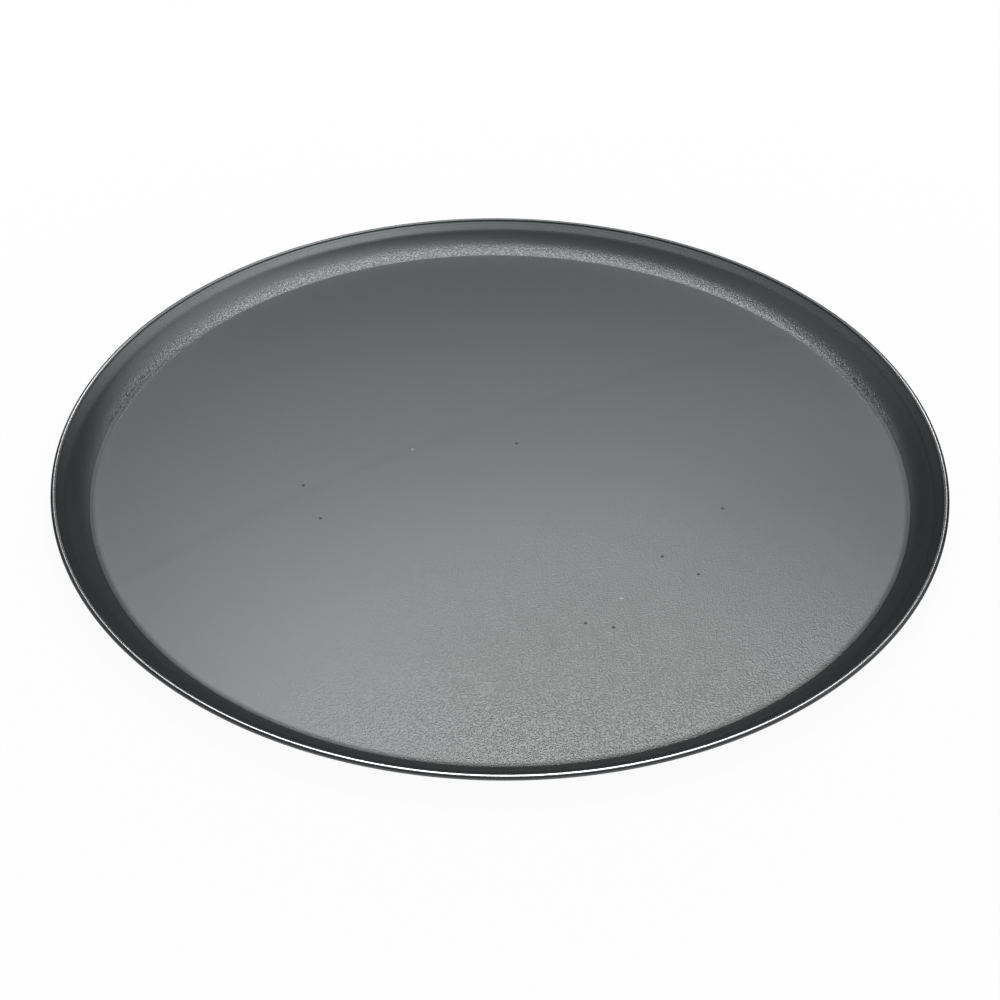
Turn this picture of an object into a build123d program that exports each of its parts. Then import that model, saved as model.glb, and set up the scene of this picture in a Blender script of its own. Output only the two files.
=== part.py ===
from build123d import *
import math
import os

# Round pizza pan: a shallow dish pressed from one disc of steel sheet, its edge rolled round a
# steel wire. Millimetres, +Z up. The origin is the centre of the underside, which lies on z = 0.

# Size of the whole pan and of the sheet it is pressed from
pan_diameter = 400.0       # over the rolled edge
sheet = 0.5                # thickness of the steel, the same all over

# The narrow border round the floor, which rises a little before the wall starts
border_radius = 14.0       # inside radius of the bend that turns the floor up into the border
border_angle = 10.5        # slope of the border, in degrees
border_length = 0.3        # flat stretch of border, along its slope

# The side of the dish, from the border outwards
heel_radius = 1.2          # inside radius of the tight bend where the wall starts
heel_angle = 26.0          # slope of the wall just above the heel, in degrees
sweep_radius = 28.25       # inside radius of the sweep that makes the wall steeper towards its top
wall_angle = 48.0          # slope of the wall above the sweep, in degrees
wall_length = 0.3          # flat stretch of wall, along its slope
shoulder_radius = 5.0      # inside radius of the soft bend that turns the wall out into the lip
lip_angle = 31.0           # slope of the lip, in degrees
lip_length = 4.1           # flat stretch of lip, along its slope

# The rolled edge and the wire in it
wire_diameter = 1.3
wire_clearance = 0.05      # between the wire and the roll, all round
crease_radius = 0.35       # inside radius of the crease where the roll leaves the lip
bead_drop = 0.7            # depth of the wire's centre below the middle of the lip, square to it
roll_gap = 0.2             # between the roll's cut edge and the lip that it comes back up to
wire_joint_gap = 1.0       # between the wire's two ends, which butt at the back of the pan

# Sizes that follow from those above
pan_radius = pan_diameter / 2
half_sheet = sheet / 2
roll_inside = wire_diameter / 2 + wire_clearance
roll_middle = roll_inside + half_sheet
roll_outside = roll_inside + sheet
crease_middle = crease_radius + half_sheet
centre_spacing = roll_middle + crease_middle
crease_turn = math.degrees(math.acos((crease_middle + bead_drop) / centre_spacing))


def roll_turn():
    """Angle that the sheet turns round the wire before its cut edge stops under the lip."""
    stop_above_centre = bead_drop - half_sheet - roll_gap
    three_quarters = 270
    return three_quarters + crease_turn + math.degrees(math.asin(stop_above_centre / roll_outside))


def rim_bends():
    """The sheet's middle line from the floor's edge to its cut edge, as runs and bends.

    A run is (length, 0). A bend is (radius of the middle line, turn), with the turn in degrees,
    positive where the sheet turns up and negative where it turns down. The roll is two half bends.
    """
    return [
        (border_radius + half_sheet, border_angle),
        (border_length, 0),
        (heel_radius + half_sheet, heel_angle - border_angle),
        (sweep_radius + half_sheet, wall_angle - heel_angle),
        (wall_length, 0),
        (shoulder_radius + half_sheet, lip_angle - wall_angle),
        (lip_length, 0),
        (crease_middle, crease_turn),
        (roll_middle, -roll_turn() / 2),
        (roll_middle, -roll_turn() / 2),
    ]


def beside(point, heading, offset):
    """The point that lies offset to the left of a point on the middle line."""
    angle = math.radians(heading)
    return point + Vector(-math.sin(angle), math.cos(angle)) * offset


def step_along(point, heading, size, turn):
    """Where one run or bend, or a part of a bend, leads from a point and a heading."""
    if turn == 0:
        angle = math.radians(heading)
        return point + Vector(math.cos(angle), math.sin(angle)) * size, heading
    radius = math.copysign(size, turn)
    centre = beside(point, heading, radius)
    return beside(centre, heading + turn, -radius), heading + turn


def face_of_sheet(start, bends, offset):
    """The edges of one face of the sheet, offset to the left of its middle line."""
    point, heading, edges = start, 0, []
    for size, turn in bends:
        end, end_heading = step_along(point, heading, size, turn)
        first, last = beside(point, heading, offset), beside(end, end_heading, offset)
        if turn == 0:
            edges.append(Line(first, last))
        else:
            half, half_heading = step_along(point, heading, size, turn / 2)
            edges.append(ThreePointArc(first, beside(half, half_heading, offset), last))
        point, heading = end, end_heading
    return edges


def wire_centre_from(start):
    """The centre of the wire, reached from the floor's edge along all bends but the roll's two."""
    point, heading = start, 0
    for size, turn in rim_bends()[:-2]:
        point, heading = step_along(point, heading, size, turn)
    return beside(point, heading, -roll_middle)


# The floor is as wide as the rim's bends leave room for
rim_offset = wire_centre_from(Vector(0, half_sheet))
wire_ring_radius = pan_radius - roll_outside
floor_radius = wire_ring_radius - rim_offset.X
wire_height = rim_offset.Y


def pan_shell():
    """The pressed dish with its rolled edge: one sheet's section, turned round the pan's axis."""
    centre = Vector(0, half_sheet)
    bends = [(floor_radius, 0)] + rim_bends()
    top = face_of_sheet(centre, bends, half_sheet)
    bottom = face_of_sheet(centre, bends, -half_sheet)
    axis_edge = Line(bottom[0] @ 0, top[0] @ 0)
    cut_edge = Line(top[-1] @ 1, bottom[-1] @ 1)
    section = make_face(Curve() + top + bottom + [axis_edge, cut_edge])
    return revolve(Plane.XZ * section, Axis.Z)


def rim_wire():
    """The wire inside the rolled edge: a hoop with a small gap between its ends, at the back."""
    gap_angle = math.degrees(wire_joint_gap / wire_ring_radius)
    section = Pos(wire_ring_radius, wire_height) * Circle(wire_diameter / 2)
    hoop = revolve(Plane.XZ * section, Axis.Z, 360 - gap_angle)
    quarter_turn = 90
    return Rot(0, 0, quarter_turn + gap_angle / 2) * hoop


os.makedirs("parts", exist_ok=True)
export_step(pan_shell(), "parts/pan_shell.step")
export_step(rim_wire(), "parts/rim_wire.step")

print("floor radius", round(floor_radius, 3), "overall height", round(wire_height + roll_outside, 3))
print("wire ring radius", round(wire_ring_radius, 3), "wire height", round(wire_height, 3))
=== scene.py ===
import math

import bmesh
import bpy
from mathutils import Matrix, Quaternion, Vector


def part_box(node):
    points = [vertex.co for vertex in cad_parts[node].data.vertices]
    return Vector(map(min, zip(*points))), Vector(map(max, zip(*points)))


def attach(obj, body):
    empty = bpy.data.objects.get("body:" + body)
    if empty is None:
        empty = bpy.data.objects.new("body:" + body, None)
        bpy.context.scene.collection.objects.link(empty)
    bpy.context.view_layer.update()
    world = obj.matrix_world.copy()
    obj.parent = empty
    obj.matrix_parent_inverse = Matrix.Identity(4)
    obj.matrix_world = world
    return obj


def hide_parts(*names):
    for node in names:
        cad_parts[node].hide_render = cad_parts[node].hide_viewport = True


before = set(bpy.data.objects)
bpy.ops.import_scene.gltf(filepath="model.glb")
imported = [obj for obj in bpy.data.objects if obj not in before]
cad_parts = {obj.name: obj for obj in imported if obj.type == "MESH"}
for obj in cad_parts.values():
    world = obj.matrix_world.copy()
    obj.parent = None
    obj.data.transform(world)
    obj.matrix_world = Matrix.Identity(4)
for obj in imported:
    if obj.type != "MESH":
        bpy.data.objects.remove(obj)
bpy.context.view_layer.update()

scene = bpy.context.scene
scene.view_settings.view_transform = "Standard"


# The pan's shell
# One disc of thin steel sheet, pressed in a die into a shallow dish, with its edge rolled round
# a wire. A dark satin coating is sprayed and baked on after the pressing, so it covers it all.

def add(tree, kind, sockets=None, **settings):
    """A node of one kind, with its settings, and a value or a link for each named socket."""
    made = tree.nodes.new(kind)
    for name, value in settings.items():
        setattr(made, name, value)
    for name, value in (sockets or {}).items():
        if isinstance(value, bpy.types.NodeSocket):
            tree.links.new(value, made.inputs[name])
        else:
            made.inputs[name].default_value = value
    return made


def sums(tree, operation, *values, kind="ShaderNodeMath"):
    """The result of one sum, from numbers or from other nodes' sockets."""
    made = add(tree, kind, dict(enumerate(values)), operation=operation)
    return made.outputs["Value"] if kind == "ShaderNodeMath" else made.outputs["Vector"]


def new_nodes(name, inputs):
    """An empty geometry tree with named inputs, given as name: (socket type, first value)."""
    tree = bpy.data.node_groups.new(name, "GeometryNodeTree")
    for label, (kind, value) in inputs.items():
        socket = tree.interface.new_socket(label, in_out="INPUT", socket_type="NodeSocket" + kind)
        if value is not None:
            socket.default_value = value
    tree.interface.new_socket("Geometry", in_out="OUTPUT", socket_type="NodeSocketGeometry")
    return tree, tree.nodes.new("NodeGroupInput").outputs


def both_faces(tree, sheet):
    """The offsets of the sheet's two faces from its middle line."""
    half = sums(tree, "MULTIPLY", sheet, 0.5)
    return half, sums(tree, "MULTIPLY", half, -1.0)


def close_group(tree, pieces):
    """Joins the pieces and hands them out of the tree."""
    joined = add(tree, "GeometryNodeJoinGeometry")
    for piece in pieces:
        tree.links.new(piece, joined.inputs[0])
    add(tree, "NodeGroupOutput", {"Geometry": joined.outputs[0]})
    return tree


def bend_nodes():
    """A bend in the sheet: an arc on each face, and all that lies beyond it, turned with it."""
    tree, given = new_nodes("bend in the sheet", {
        "Beyond": ("Geometry", None), "Radius": ("Float", 0.001), "Turn": ("Float", 0.5),
        "Sheet": ("Float", 0.0005), "Steps": ("Int", 8)})
    way = sums(tree, "SIGN", given["Turn"])
    radius = sums(tree, "MULTIPLY", given["Radius"], way)
    start = sums(tree, "MULTIPLY", way, math.radians(-90))
    centre = add(tree, "ShaderNodeCombineXYZ", {"Y": radius}).outputs[0]
    pieces = []
    for offset in both_faces(tree, given["Sheet"]):
        reach = sums(tree, "ABSOLUTE", sums(tree, "SUBTRACT", radius, offset))
        arc = add(tree, "GeometryNodeCurveArc", {
            "Resolution": given["Steps"], "Radius": reach, "Start Angle": start,
            "Sweep Angle": given["Turn"]}, mode="RADIUS")
        pieces.append(add(tree, "GeometryNodeTransform", {
            "Geometry": arc.outputs["Curve"], "Translation": centre}).outputs[0])
    along = sums(tree, "MULTIPLY", radius, sums(tree, "SINE", given["Turn"]))
    rise = sums(tree, "SUBTRACT", 1.0, sums(tree, "COSINE", given["Turn"]))
    end = add(tree, "ShaderNodeCombineXYZ", {"X": along, "Y": sums(tree, "MULTIPLY", radius, rise)})
    turned = add(tree, "ShaderNodeCombineXYZ", {"Z": given["Turn"]})
    pieces.append(add(tree, "GeometryNodeTransform", {
        "Geometry": given["Beyond"], "Translation": end.outputs[0],
        "Rotation": turned.outputs[0]}).outputs[0])
    return close_group(tree, pieces)


def run_nodes():
    """A straight run of the sheet: a line on each face, and all that lies beyond it, moved on."""
    tree, given = new_nodes("run of the sheet", {
        "Beyond": ("Geometry", None), "Length": ("Float", 0.001),
        "Sheet": ("Float", 0.0005), "Steps": ("Int", 3)})
    end = add(tree, "ShaderNodeCombineXYZ", {"X": given["Length"]}).outputs[0]
    pieces = [add(tree, "GeometryNodeTransform", {
        "Geometry": given["Beyond"], "Translation": end}).outputs[0]]
    for offset in both_faces(tree, given["Sheet"]):
        aside = add(tree, "ShaderNodeCombineXYZ", {"Y": offset}).outputs[0]
        line = add(tree, "GeometryNodeCurvePrimitiveLine", {
            "Start": aside, "End": sums(tree, "ADD", end, aside, kind="ShaderNodeVectorMath")})
        pieces.append(add(tree, "GeometryNodeResampleCurve", {
            "Curve": line.outputs[0], "Count": given["Steps"]}).outputs[0])
    return close_group(tree, pieces)


pan_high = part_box("pan_shell")[1]
wire_low, wire_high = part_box("rim_wire")
pan_radius = pan_high.x
wire_diameter = wire_high.z - wire_low.z
wire_ring_radius = wire_high.x - wire_diameter / 2

sheet = 0.0005
border_radius, border_angle, border_length = 0.014, math.radians(10.5), 0.0003
heel_radius, heel_angle = 0.0012, math.radians(26)
sweep_radius, wall_angle, wall_length = 0.02825, math.radians(48), 0.0003
shoulder_radius = 0.005
lip_angle, lip_length = math.radians(31), 0.0041
crease_radius = 0.00035
bead_drop = 0.0007
roll_gap = 0.0002

half_sheet = sheet / 2
roll_outside = pan_radius - wire_ring_radius
roll_middle = roll_outside - half_sheet
crease_middle = crease_radius + half_sheet
centre_spacing = roll_middle + crease_middle
crease_turn = math.acos((crease_middle + bead_drop) / centre_spacing)
three_quarters = math.radians(270)
roll_turn = three_quarters + crease_turn + math.asin(
    (bead_drop - half_sheet - roll_gap) / roll_outside)


def step_up(tree, value, start, end):
    """0 where a value is at its start, rising smoothly to 1 where it is at its end."""
    return add(tree, "ShaderNodeMapRange", {
        "Value": value, "From Min": start, "From Max": end},
        interpolation_type="SMOOTHSTEP").outputs["Result"]


def length(tree, arrow):
    """How long an arrow is."""
    return add(tree, "ShaderNodeVectorMath", {0: arrow}, operation="LENGTH").outputs["Value"]


def laid_flat(tree, place):
    """A place moved straight down to the level of the pan's underside."""
    return sums(tree, "MULTIPLY", place, (1.0, 1.0, 0.0), kind="ShaderNodeVectorMath")


def product(tree, *values):
    """All the values multiplied together."""
    result = values[0]
    for value in values[1:]:
        result = sums(tree, "MULTIPLY", result, value)
    return result


def shell_nodes():
    """The pan's section, built from its cut edge back to the floor, then turned round its axis."""
    sizes = {
        "Pan Radius": pan_radius, "Sheet": sheet,
        "Border Radius": border_radius + half_sheet, "Border Turn": border_angle,
        "Border Length": border_length,
        "Heel Radius": heel_radius + half_sheet, "Heel Turn": heel_angle - border_angle,
        "Sweep Radius": sweep_radius + half_sheet, "Sweep Turn": wall_angle - heel_angle,
        "Wall Length": wall_length,
        "Shoulder Radius": shoulder_radius + half_sheet, "Shoulder Turn": lip_angle - wall_angle,
        "Lip Length": lip_length,
        "Crease Radius": crease_middle, "Crease Turn": crease_turn,
        "Roll Radius": roll_middle, "Roll Turn": -roll_turn,
        "Warp Height": 0.0002, "Warp Size": 0.16, "Warp Seed": 4.0,
        "Foot Height": 0.00013,
    }
    inputs = {"Geometry": ("Geometry", None)}
    inputs.update({name: ("Float", value) for name, value in sizes.items()})
    inputs["Steps Round"] = ("Int", 384)
    inputs["Coating"] = ("Material", None)
    tree, given = new_nodes("turned pan shell", inputs)
    bend, run = bend_nodes(), run_nodes()

    def led_on(group, beyond, steps, **sources):
        made = tree.nodes.new("GeometryNodeGroup")
        made.node_tree = group
        for socket, source in sources.items():
            tree.links.new(source, made.inputs[socket])
        tree.links.new(beyond, made.inputs["Beyond"])
        tree.links.new(given["Sheet"], made.inputs["Sheet"])
        made.inputs["Steps"].default_value = steps
        return made.outputs[0]

    def bent(beyond, name, steps):
        return led_on(bend, beyond, steps, Radius=given[name + " Radius"], Turn=given[name + " Turn"])

    def run_on(beyond, run_length, steps):
        return led_on(run, beyond, steps, Length=run_length)

    top, bottom = [add(tree, "ShaderNodeCombineXYZ", {"Y": offset}).outputs[0]
                   for offset in both_faces(tree, given["Sheet"])]
    section = add(tree, "GeometryNodeCurvePrimitiveLine", {"Start": top, "End": bottom}).outputs[0]
    section = bent(section, "Roll", steps=40)
    section = bent(section, "Crease", steps=9)
    section = run_on(section, given["Lip Length"], steps=4)
    section = bent(section, "Shoulder", steps=9)
    section = run_on(section, given["Wall Length"], steps=2)
    section = bent(section, "Sweep", steps=20)
    section = bent(section, "Heel", steps=7)
    section = run_on(section, given["Border Length"], steps=2)
    section = bent(section, "Border", steps=8)

    reach = add(tree, "GeometryNodeBoundBox", {
        "Geometry": section, "Use Radius": False}).outputs["Max"]
    reach = add(tree, "ShaderNodeSeparateXYZ", {"Vector": reach}).outputs["X"]
    floor_radius = sums(tree, "SUBTRACT", given["Pan Radius"], reach)
    section = run_on(section, floor_radius, steps=22)

    # The section starts on the axis, so it is moved in by the radius of the circle that it
    # follows, and up by half a sheet. The circle's own Y points down, so Y is turned over.
    back = sums(tree, "MULTIPLY", given["Pan Radius"], -1.0)
    up = sums(tree, "MULTIPLY", given["Sheet"], -0.5)
    shift = add(tree, "ShaderNodeCombineXYZ", {"X": back, "Y": up}).outputs[0]
    section = add(tree, "GeometryNodeTransform", {
        "Geometry": section, "Translation": shift, "Scale": (1.0, -1.0, 1.0)}).outputs[0]
    ring = add(tree, "GeometryNodeCurvePrimitiveCircle", {
        "Resolution": given["Steps Round"], "Radius": given["Pan Radius"]}, mode="RADIUS")
    shell = add(tree, "GeometryNodeCurveToMesh", {
        "Curve": ring.outputs["Curve"], "Profile Curve": section}).outputs[0]
    seam = 2e-6
    shell = add(tree, "GeometryNodeMergeByDistance", {"Geometry": shell, "Distance": seam}).outputs[0]

    # The floor is drawn up a little here and there, and not at all at its edge
    place = add(tree, "GeometryNodeInputPosition").outputs[0]
    flat = laid_flat(tree, place)
    from_axis = length(tree, flat)
    warp_end, warp_start = 1.0, 0.55
    fade = step_up(tree, sums(tree, "DIVIDE", from_axis, floor_radius), warp_end, warp_start)
    swell = add(tree, "ShaderNodeTexNoise", {
        "Vector": flat, "W": given["Warp Seed"], "Scale": sums(tree, "DIVIDE", 1.0, given["Warp Size"]),
        "Detail": 1.0}, noise_dimensions="4D").outputs["Fac"]
    lift = product(tree, swell, fade, given["Warp Height"])

    # At the far side the foot of the wall is a little fuller, as the die left it
    foot_rise, foot_fall = (0.1810, 0.1832), (0.1885, 0.1838)
    foot_back = 0.5, 0.9
    backwards = add(tree, "ShaderNodeSeparateXYZ", {"Vector": place}).outputs["Y"]
    backwards = sums(tree, "DIVIDE", backwards, sums(tree, "MAXIMUM", from_axis, half_sheet))
    foot = product(tree, step_up(tree, from_axis, *foot_rise), step_up(tree, from_axis, *foot_fall),
                   step_up(tree, backwards, *foot_back))
    lift = sums(tree, "MULTIPLY_ADD", foot, given["Foot Height"], lift)
    lift = add(tree, "ShaderNodeCombineXYZ", {"Z": lift}).outputs[0]
    shell = add(tree, "GeometryNodeSetPosition", {"Geometry": shell, "Offset": lift}).outputs[0]
    shell = add(tree, "GeometryNodeSetShadeSmooth", {"Geometry": shell}).outputs[0]
    shell = add(tree, "GeometryNodeRealizeInstances", {"Geometry": shell}).outputs[0]
    shell = add(tree, "GeometryNodeSetMaterial", {
        "Geometry": shell, "Material": given["Coating"]}).outputs[0]
    add(tree, "NodeGroupOutput", {"Geometry": shell})
    return tree


def band(tree, value, middle, half_width):
    """1 where a value is in the middle of a band, falling smoothly to 0 at the band's edges."""
    away = sums(tree, "ABSOLUTE", sums(tree, "SUBTRACT", value, middle))
    return step_up(tree, away, half_width, 0.0)


def noise(tree, place, per_metre, detail=2.0):
    """Even random blotches, with so many to the metre."""
    return add(tree, "ShaderNodeTexNoise", {
        "Vector": place, "Scale": per_metre, "Detail": detail}).outputs[0]


def blend(tree, share, first, second):
    """A colour that goes from the first to the second as the share goes from 0 to 1."""
    return add(tree, "ShaderNodeMix", {0: share, 6: first, 7: second}, data_type="RGBA").outputs[2]


# The camera that took the picture, which also tells where on the floor a mark in it lies
camera_place = Vector((0.0, -0.8066, 0.6411))
camera_aim = Vector((0.0, -0.0306, 0.01037))
camera_roll = math.radians(0.64)
focal_pixels = 2274.6
picture_pixels = 1000
looking = (camera_aim - camera_place).to_track_quat("-Z", "Y")
roll_axis = looking @ Vector((0.0, 0.0, 1.0))
looking = Quaternion(roll_axis, camera_roll) @ looking


def floor_place(across, down):
    """The place on the pan's floor that shows at one point of the picture, in pixels."""
    middle = (picture_pixels - 1) / 2
    ray = looking @ Vector((across - middle, middle - down, -focal_pixels))
    seen = camera_place + ray * ((sheet - camera_place.z) / ray.z)
    return seen.x, seen.y


def away_from(tree, flat, x, y):
    """The distance from one place on the pan's floor."""
    return add(tree, "ShaderNodeVectorMath", {0: flat, 1: (x, y, 0.0)}, operation="DISTANCE").outputs["Value"]


def spots(tree, flat, places, radius):
    """Small round spots on the pan's floor, at places given as points of the picture."""
    solid_share = 0.3
    result = 0.0
    for across, down in places:
        spot = step_up(tree, away_from(tree, flat, *floor_place(across, down)), radius, radius * solid_share)
        result = sums(tree, "MAXIMUM", result, spot)
    return result


def coating_material():
    """Dark satin bakeware coating with a metal's sheen, grained where the spray was thick.

    Rings are radii from the pan's axis. A pair gives where a mark starts and where it is full.
    """
    made = bpy.data.materials.new("satin_coating")
    made.use_nodes = True
    tree = made.node_tree
    surface = tree.nodes["Principled BSDF"]
    given = add(tree, "ShaderNodeTexCoord").outputs
    place = given["Object"]
    axes = add(tree, "ShaderNodeSeparateXYZ", {"Vector": place}).outputs
    across, back, height = axes["X"], axes["Y"], axes["Z"]
    flat = laid_flat(tree, place)
    radius = length(tree, flat)
    sideways = sums(tree, "DIVIDE", sums(tree, "ABSOLUTE", across), radius)
    upwards = add(tree, "ShaderNodeSeparateXYZ", {"Vector": given["Normal"]}).outputs["Z"]
    inside = step_up(tree, upwards, 0.0, 0.2)

    # Painted shade darkens the corner where the wall starts, in patches, most of all at the two sides
    corner_ring, corner_reach, corner_share = 0.1830, 0.0024, 0.8
    corner_sides, corner_back = (0.60, 0.95), (0.14, 0.06)
    shade_patches = step_up(tree, noise(tree, place, per_metre=140.0, detail=3.0), 0.1, 0.45)
    at_sides = product(tree, step_up(tree, sideways, *corner_sides), step_up(tree, back, *corner_back))
    corner = product(tree, band(tree, radius, corner_ring, corner_reach), at_sides, inside, shade_patches)

    # Near it, the coating is broken in a ragged line of small nicks
    nick_ring, nick_reach, nick_share = 0.1849, 0.0016, 0.75
    nick_sides, nick_back = (0.70, 0.95), (0.0, 0.06)
    nick_shapes = step_up(tree, noise(tree, place, per_metre=600.0, detail=1.0), 0.50, 0.57)
    nick_stretches = step_up(tree, noise(tree, place, per_metre=35.0, detail=1.0), 0.35, 0.50)
    nicks = product(tree, band(tree, radius, nick_ring, nick_reach), step_up(tree, sideways, *nick_sides),
                    nick_share, step_up(tree, back, *nick_back), nick_shapes, nick_stretches)

    # Painted shade also darkens the crease inside the rolled edge, a thin groove in the lip at the far side,
    # and the edge's outer face away from the front, which is made rougher too
    crease_ring, crease_reach, crease_height = 0.1976, 0.0004, (0.0104, 0.0106)
    groove_ring, groove_reach, groove_back, groove_share = 0.1964, 0.0003, (0.08, 0.14), 0.5
    outer_face, outer_back, outer_share = (0.19885, 0.1991), (-0.12, -0.03), 0.8
    crease = product(tree, band(tree, radius, crease_ring, crease_reach),
                     step_up(tree, height, *crease_height))
    groove = product(tree, band(tree, radius, groove_ring, groove_reach),
                     step_up(tree, back, *groove_back), inside)
    outer = product(tree, step_up(tree, radius, *outer_face), step_up(tree, back, *outer_back))
    dark = sums(tree, "MAXIMUM", crease, product(tree, groove, groove_share))

    # Painted shade darkens the lip, least of all at the far left
    lip_edge, far_left_way, far_left_turn = (0.1930, 0.1940), (-0.75, 0.66, 0.0), (0.70, 0.98)
    far_left_loss = -0.8
    far_left = add(tree, "ShaderNodeVectorMath", {0: flat, 1: far_left_way}, operation="DOT_PRODUCT")
    far_left = step_up(tree, sums(tree, "DIVIDE", far_left.outputs["Value"], radius), *far_left_turn)
    lip = product(tree, step_up(tree, radius, *lip_edge), inside,
                  sums(tree, "MULTIPLY_ADD", far_left, far_left_loss, 1.0))

    # A painted highlight: a thin line on top of the rolled edge, at the front and sides, gets a bright steel
    # colour and a smoother finish
    highlight_front_ring, highlight_shift, highlight_reach = 0.19885, -0.00060, 0.00085
    highlight_height, highlight_back = (0.0107, 0.0110), (0.11, 0.0)
    highlight_ring = sums(tree, "MULTIPLY_ADD", sideways, highlight_shift, highlight_front_ring)
    painted_highlight = product(tree, band(tree, radius, highlight_ring, highlight_reach),
                     step_up(tree, height, *highlight_height), step_up(tree, back, *highlight_back),
                     step_up(tree, noise(tree, place, per_metre=60.0), 0.05, 0.40))

    # The spray went on thickest over the near right of the floor and the far side of the corner
    spray_place, spray_reach, floor_spray_end = (0.05, -0.16), (0.19, 0.02), (0.1870, 0.1830)
    wall_spray_start, wall_spray_end, wall_spray_back = (0.1808, 0.1822), (0.1910, 0.1840), (0.0, 0.06)
    thin_spray_end, thin_share = (0.1975, 0.1965), 0.1
    thick_floor = product(tree, step_up(tree, away_from(tree, flat, *spray_place), *spray_reach),
                          step_up(tree, radius, *floor_spray_end))
    thick_wall = product(tree, step_up(tree, radius, *wall_spray_start),
                         step_up(tree, radius, *wall_spray_end), step_up(tree, back, *wall_spray_back))
    thin = product(tree, step_up(tree, radius, *thin_spray_end), thin_share)
    thick = sums(tree, "MAXIMUM", sums(tree, "MAXIMUM", thick_floor, thick_wall), thin)
    pebble_height = 0.00010
    pebbles = step_up(tree, noise(tree, place, per_metre=1300.0), 0.40, 0.75)
    bump = add(tree, "ShaderNodeBump", {
        "Height": product(tree, pebbles, thick, inside), "Strength": 1.0, "Distance": pebble_height})
    tree.links.new(bump.outputs[0], surface.inputs["Normal"])
    # At the far side it has dried in light and dark flecks
    flecks = step_up(tree, noise(tree, place, per_metre=1000.0, detail=1.0), 0.38, 0.66)

    # Painted shade darkens the floor a little at its far end and towards its right edge
    floor_shade_place, floor_shade_reach, floor_shade_share = (0.14, -0.04), (0.09, 0.02), 0.11
    far_end_back, far_end_edge, far_end_share = (0.06, 0.17), (0.1840, 0.1800), 0.13
    painted_floor_shade = product(tree, step_up(tree, away_from(tree, flat, *floor_shade_place), *floor_shade_reach), floor_shade_share)
    far_end = product(tree, step_up(tree, back, *far_end_back), step_up(tree, radius, *far_end_edge),
                      far_end_share)
    painted_floor_shade = product(tree, sums(tree, "MAXIMUM", painted_floor_shade, far_end), inside)

    # A faint painted shade line runs across the floor in a wide curve
    shade_line_centre, shade_line_radius, shade_line_reach = (0.5194, -0.8335), 1.0187, 0.0055
    shade_line_end, shade_line_share = (0.1810, 0.1750), 0.08
    painted_shade_line = product(tree, band(tree, away_from(tree, flat, *shade_line_centre), shade_line_radius, shade_line_reach),
                     inside, step_up(tree, radius, *shade_line_end), shade_line_share)

    # A few pits have lost their coating's skin, and two chips show the steel
    left_pits, middle_pit = [(303, 485), (320, 518)], [(516, 443)]
    right_pits, near_pits = [(722, 508), (662, 556), (698, 574)], [(585, 623), (613, 627)]
    right_chip, left_chip = (621, 598), (412, 449)
    pit_radius, pit_share, chip_radius = 0.0011, 0.9, 0.0009
    pits = spots(tree, flat, left_pits + right_pits + near_pits + middle_pit, pit_radius)
    pits = sums(tree, "MAXIMUM", pits, nicks)
    chips = product(tree, spots(tree, flat, [right_chip, left_chip], chip_radius), inside)

    satin = (0.1375, 0.1432, 0.1478, 1.0)
    thick_satin = (0.1665, 0.1730, 0.1705, 1.0)
    dark_fleck = (0.116, 0.121, 0.125, 1.0)
    light_fleck = (0.186, 0.193, 0.199, 1.0)
    painted_lip_shade_colour = (0.096, 0.100, 0.104, 1.0)
    # The next colour paints shade; the near-black after it paints both the pits and the shade on the rolled
    # edge's outer face
    painted_shade_colour = (0.055, 0.057, 0.057, 1.0)
    pits_and_shade_black = (0.022, 0.022, 0.022, 1.0)
    steel = (0.86, 0.86, 0.87, 1.0)
    chipped = (0.30, 0.30, 0.31, 1.0)
    colour = blend(tree, product(tree, thick_floor, inside), satin, thick_satin)
    # Painted shade and the painted highlight are laid over the coating here, together with its real marks
    for share, over in (
            (product(tree, thick_wall, inside), blend(tree, flecks, dark_fleck, light_fleck)),
            (painted_floor_shade, painted_shade_colour),
            (painted_shade_line, painted_shade_colour),
            (lip, painted_lip_shade_colour),
            (product(tree, corner, corner_share), painted_shade_colour),
            (dark, painted_shade_colour),
            (product(tree, outer, outer_share), pits_and_shade_black),
            (product(tree, pits, inside, pit_share), pits_and_shade_black),
            (chips, chipped),
            (painted_highlight, steel)):
        colour = blend(tree, share, colour, over)
    tree.links.new(colour, surface.inputs["Base Color"])

    satin_roughness, outer_change, highlight_roughness_change = 0.375, 0.25, -0.21
    roughness = sums(tree, "MULTIPLY_ADD", outer, outer_change, satin_roughness)
    roughness = sums(tree, "MULTIPLY_ADD", painted_highlight, highlight_roughness_change, roughness)
    tree.links.new(roughness, surface.inputs["Roughness"])
    surface.inputs["Metallic"].default_value = 0.9
    surface.inputs["Specular Tint"].default_value = (0.6, 0.6, 0.6, 1.0)
    return made


def plain_mesh_of(tree, name, material):
    """Runs a geometry tree once and keeps its result as a plain mesh, with its faces outwards."""
    holder = bpy.data.objects.new("holder", bpy.data.meshes.new("holder"))
    scene.collection.objects.link(holder)
    modifier = holder.modifiers.new("shape", "NODES")
    modifier.node_group = tree
    for socket in tree.interface.items_tree:
        if socket.name == "Coating":
            modifier[socket.identifier] = material
    evaluated = holder.evaluated_get(bpy.context.evaluated_depsgraph_get())
    mesh = bpy.data.meshes.new_from_object(evaluated)
    bpy.data.objects.remove(holder)
    mesh.name = name
    shape = bmesh.new()
    shape.from_mesh(mesh)
    bmesh.ops.recalc_face_normals(shape, faces=shape.faces)
    if shape.calc_volume(signed=True) < 0:
        bmesh.ops.reverse_faces(shape, faces=shape.faces)
    shape.to_mesh(mesh)
    shape.free()
    piece = bpy.data.objects.new(name, mesh)
    scene.collection.objects.link(piece)
    return piece


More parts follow.
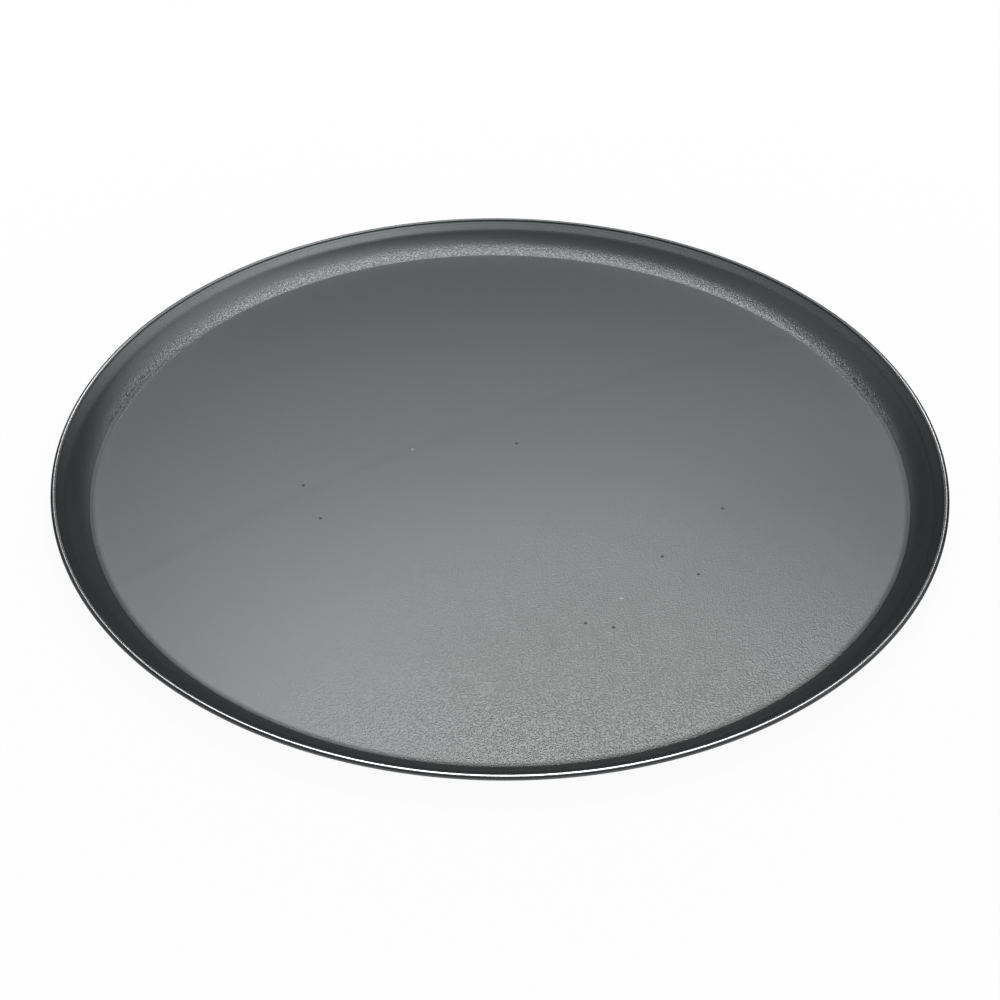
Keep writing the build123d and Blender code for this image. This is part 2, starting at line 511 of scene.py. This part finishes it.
shell = plain_mesh_of(shell_nodes(), "coated_shell", coating_material())
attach(shell, "root")
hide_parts("pan_shell")


# The rim wire
# A hoop of drawn steel wire, laid in the edge before it is rolled shut. Its ends butt at the
# back of the pan, and it stays bare, because the roll keeps the coating off it.

def wire_material():
    """Plain drawn steel: a bright grey metal with fine marks."""
    made = bpy.data.materials.new("wire_steel")
    made.use_nodes = True
    tree = made.node_tree
    surface = tree.nodes["Principled BSDF"]
    place = add(tree, "ShaderNodeTexCoord").outputs["Object"]
    mark_height = 0.00002
    bump = add(tree, "ShaderNodeBump", {
        "Height": noise(tree, place, per_metre=1800.0), "Strength": 0.3, "Distance": mark_height})
    tree.links.new(bump.outputs[0], surface.inputs["Normal"])
    surface.inputs["Base Color"].default_value = (0.55, 0.55, 0.56, 1.0)
    surface.inputs["Metallic"].default_value = 1.0
    surface.inputs["Roughness"].default_value = 0.35
    return made


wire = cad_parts["rim_wire"]
wire.data.materials.clear()
wire.data.materials.append(wire_material())


# The floor under the pan
# A wide pale sheet. It shows white to the eye and in reflections, and keeps a soft shadow.

floor_reach = 30.0
floor_depth = 0.0001
shadow_reach = 0.7
shadow_share = 0.06
bpy.ops.mesh.primitive_circle_add(
    vertices=64, radius=floor_reach, fill_type="NGON", location=(0, 0, -floor_depth))
floor = bpy.context.object
floor.name = "studio_floor"
floor_white = bpy.data.materials.new("studio_floor")
floor_white.use_nodes = True
tree = floor_white.node_tree
tree.nodes.remove(tree.nodes["Principled BSDF"])
path = add(tree, "ShaderNodeLightPath").outputs
seen = sums(tree, "ADD", path["Is Camera Ray"], path["Is Glossy Ray"])
seen = sums(tree, "ADD", seen, path["Is Transmission Ray"])
place = add(tree, "ShaderNodeTexCoord").outputs["Object"]
shaded = product(tree, step_up(tree, length(tree, place), shadow_reach, 0.0), shadow_share)
seen = sums(tree, "MULTIPLY", seen, sums(tree, "SUBTRACT", 1.0, shaded))
matt = add(tree, "ShaderNodeBsdfDiffuse", {"Color": (0.9, 0.9, 0.9, 1.0)}).outputs[0]
white = add(tree, "ShaderNodeEmission", {"Color": (1.0, 1.0, 1.0, 1.0), "Strength": 1.0}).outputs[0]
mixed = add(tree, "ShaderNodeMixShader", {0: seen, 1: matt, 2: white}).outputs[0]
# From below, the sheet is clear, so that the pan's underside can be looked at
clear = add(tree, "ShaderNodeBsdfTransparent").outputs[0]
below = add(tree, "ShaderNodeNewGeometry").outputs["Backfacing"]
mixed = add(tree, "ShaderNodeMixShader", {0: below, 1: mixed, 2: clear}).outputs[0]
tree.links.new(mixed, tree.nodes["Material Output"].inputs["Surface"])
floor.data.materials.append(floor_white)


# The lamps
# Soft boxes: a tall one high behind the pan, a wide one to the right, a low one to the left.

def soft_box(name, azimuth, elevation, distance, width, height, brightness):
    """A rectangular lamp that faces the pan. Azimuth 0 is behind it and 90 to its right."""
    light = bpy.data.lights.new(name, "AREA")
    light.shape = "RECTANGLE"
    light.size, light.size_y = width, height
    light.energy = brightness * math.pi * width * height
    lamp = bpy.data.objects.new(name, light)
    turn, lift = math.radians(azimuth), math.radians(elevation)
    away = Vector((math.sin(turn) * math.cos(lift), math.cos(turn) * math.cos(lift), math.sin(lift)))
    lamp.location = away * distance
    lamp.rotation_mode = "QUATERNION"
    lamp.rotation_quaternion = away.to_track_quat("Z", "Y")
    lamp.visible_camera = False
    scene.collection.objects.link(lamp)


soft_box("back_box", azimuth=1.5, elevation=62.8, distance=1.88, width=1.08, height=1.39, brightness=4.54)
soft_box("right_box", azimuth=75.3, elevation=55.8, distance=3.42, width=2.90, height=4.00, brightness=1.13)
soft_box("left_box", azimuth=-63.5, elevation=32.5, distance=0.80, width=0.64, height=0.81, brightness=0.35)

# The room gives back a little light from the front, where the camera stands
world = bpy.data.worlds.new("studio_room")
world.use_nodes = True
tree = world.node_tree
way = add(tree, "ShaderNodeTexCoord").outputs["Generated"]
way = add(tree, "ShaderNodeSeparateXYZ", {"Vector": way}).outputs
front_glow, back_glow, glow_turn = 0.25, 0.01, 0.15
glow = add(tree, "ShaderNodeMapRange", {
    "Value": way["Y"], "From Min": -glow_turn, "From Max": glow_turn, "To Min": front_glow,
    "To Max": back_glow}, interpolation_type="SMOOTHSTEP").outputs["Result"]
# Above the sheet's far edge the backdrop goes on white, and low down it shows in the metal too
path = add(tree, "ShaderNodeLightPath").outputs
mirrored = sums(tree, "ADD", path["Is Glossy Ray"], path["Is Transmission Ray"])
mirrored_top, mirrored_full = 0.10, 0.02
mirrored = product(tree, mirrored, step_up(tree, way["Z"], mirrored_top, mirrored_full))
backdrop = sums(tree, "ADD", path["Is Camera Ray"], mirrored)
glow = sums(tree, "MAXIMUM", glow, backdrop)
tree.links.new(glow, tree.nodes["Background"].inputs["Strength"])
room, white = (0.95, 1.0, 0.98, 1.0), (1.0, 1.0, 1.0, 1.0)
tint = blend(tree, backdrop, room, white)
tree.links.new(tint, tree.nodes["Background"].inputs["Color"])
scene.world = world


# The camera
# It stands in front of the pan and looks down on it at about 39 degrees.

lens = bpy.data.cameras.new("camera")
lens.sensor_width = 36.0
lens.lens = lens.sensor_width * focal_pixels / picture_pixels
lens.clip_start, lens.clip_end = 0.01, 100.0
camera = bpy.data.objects.new("camera", lens)
camera.location = camera_place
camera.rotation_mode = "QUATERNION"
camera.rotation_quaternion = looking
scene.collection.objects.link(camera)
scene.camera = camera
